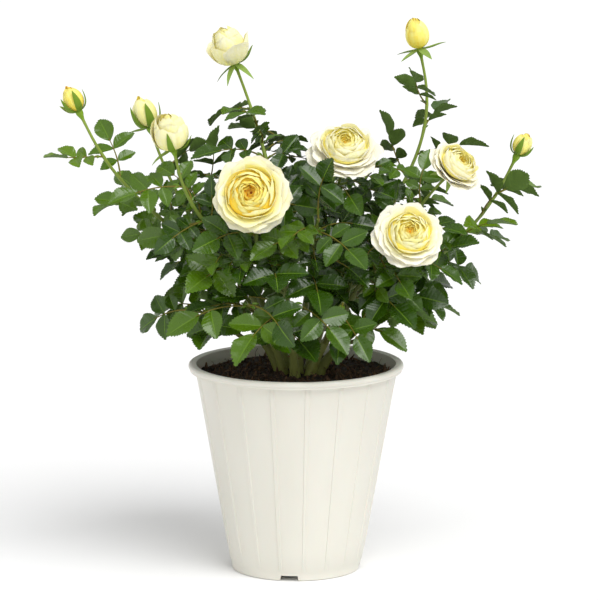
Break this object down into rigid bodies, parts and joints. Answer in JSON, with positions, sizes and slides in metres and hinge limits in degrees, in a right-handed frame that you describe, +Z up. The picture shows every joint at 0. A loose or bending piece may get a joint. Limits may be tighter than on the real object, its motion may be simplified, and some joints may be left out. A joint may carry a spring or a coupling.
{
  "type": "potted rose bush",
  "caption": "Bushy garden rose in a tapered round plastic pot of compost: woody canes, leafy shoots, open double blooms, half-open flowers and buds.",
  "frame": {"origin": "centre of the pot's flat underside", "axes": "+Z up along the pot's axis, -Y towards the bush's front, +X to the right seen from the front"},
  "size_m": [0.4968, 0.3099, 0.5486],
  "materials": {
    "pot_plastic": "warm white injection-moulded plastic with a soft sheen",
    "compost": "dark damp potting compost with fibres and bark crumbs",
    "cane_bark": "brown-green rose cane with lenticels and thorns",
    "foliage": "glossy deep green leaflets with lighter veins on green shoots",
    "petals": "soft ivory petals that deepen to lemon and gold in the heart"
  },
  "bodies": {
    "root": {"pot": "pot_plastic", "soil": "compost", "cane_left": "cane_bark", "cane_mid_left": "cane_bark", "cane_front": "cane_bark", "cane_centre": "cane_bark", "cane_mid_right": "cane_bark", "cane_right": "cane_bark", "cane_back_left": "cane_bark", "cane_back_right": "cane_bark", "shoot_front_left": "foliage", "open_front_left": "petals", "shoot_top_centre": "foliage", "open_top_centre": "petals", "shoot_front_right": "foliage", "open_front_right": "petals", "shoot_right": "foliage", "open_right": "petals", "shoot_top_left": "foliage", "half_open_top_left": "petals", "shoot_left": "foliage", "half_open_left": "petals", "shoot_far_left": "foliage", "bud_far_left": "petals", "shoot_upper_left": "foliage", "bud_upper_left": "petals", "shoot_top_right": "foliage", "bud_top_right": "petals", "shoot_far_right": "foliage", "bud_far_right": "petals", "shoot_back_left": "foliage", "open_back_left": "petals", "shoot_back_right": "foliage", "open_back_right": "petals", "shoot_back_top": "foliage", "half_open_back_top": "petals", "shoot_skirt_left": "foliage", "shoot_skirt_front_left": "foliage", "shoot_skirt_front": "foliage", "shoot_skirt_front_right": "foliage", "shoot_skirt_right": "foliage", "shoot_skirt_back_right": "foliage", "shoot_skirt_back_left": "foliage", "shoot_middle_left": "foliage", "shoot_middle_front": "foliage", "shoot_middle_right": "foliage", "shoot_middle_back": "foliage"}
  },
  "joints": []
}
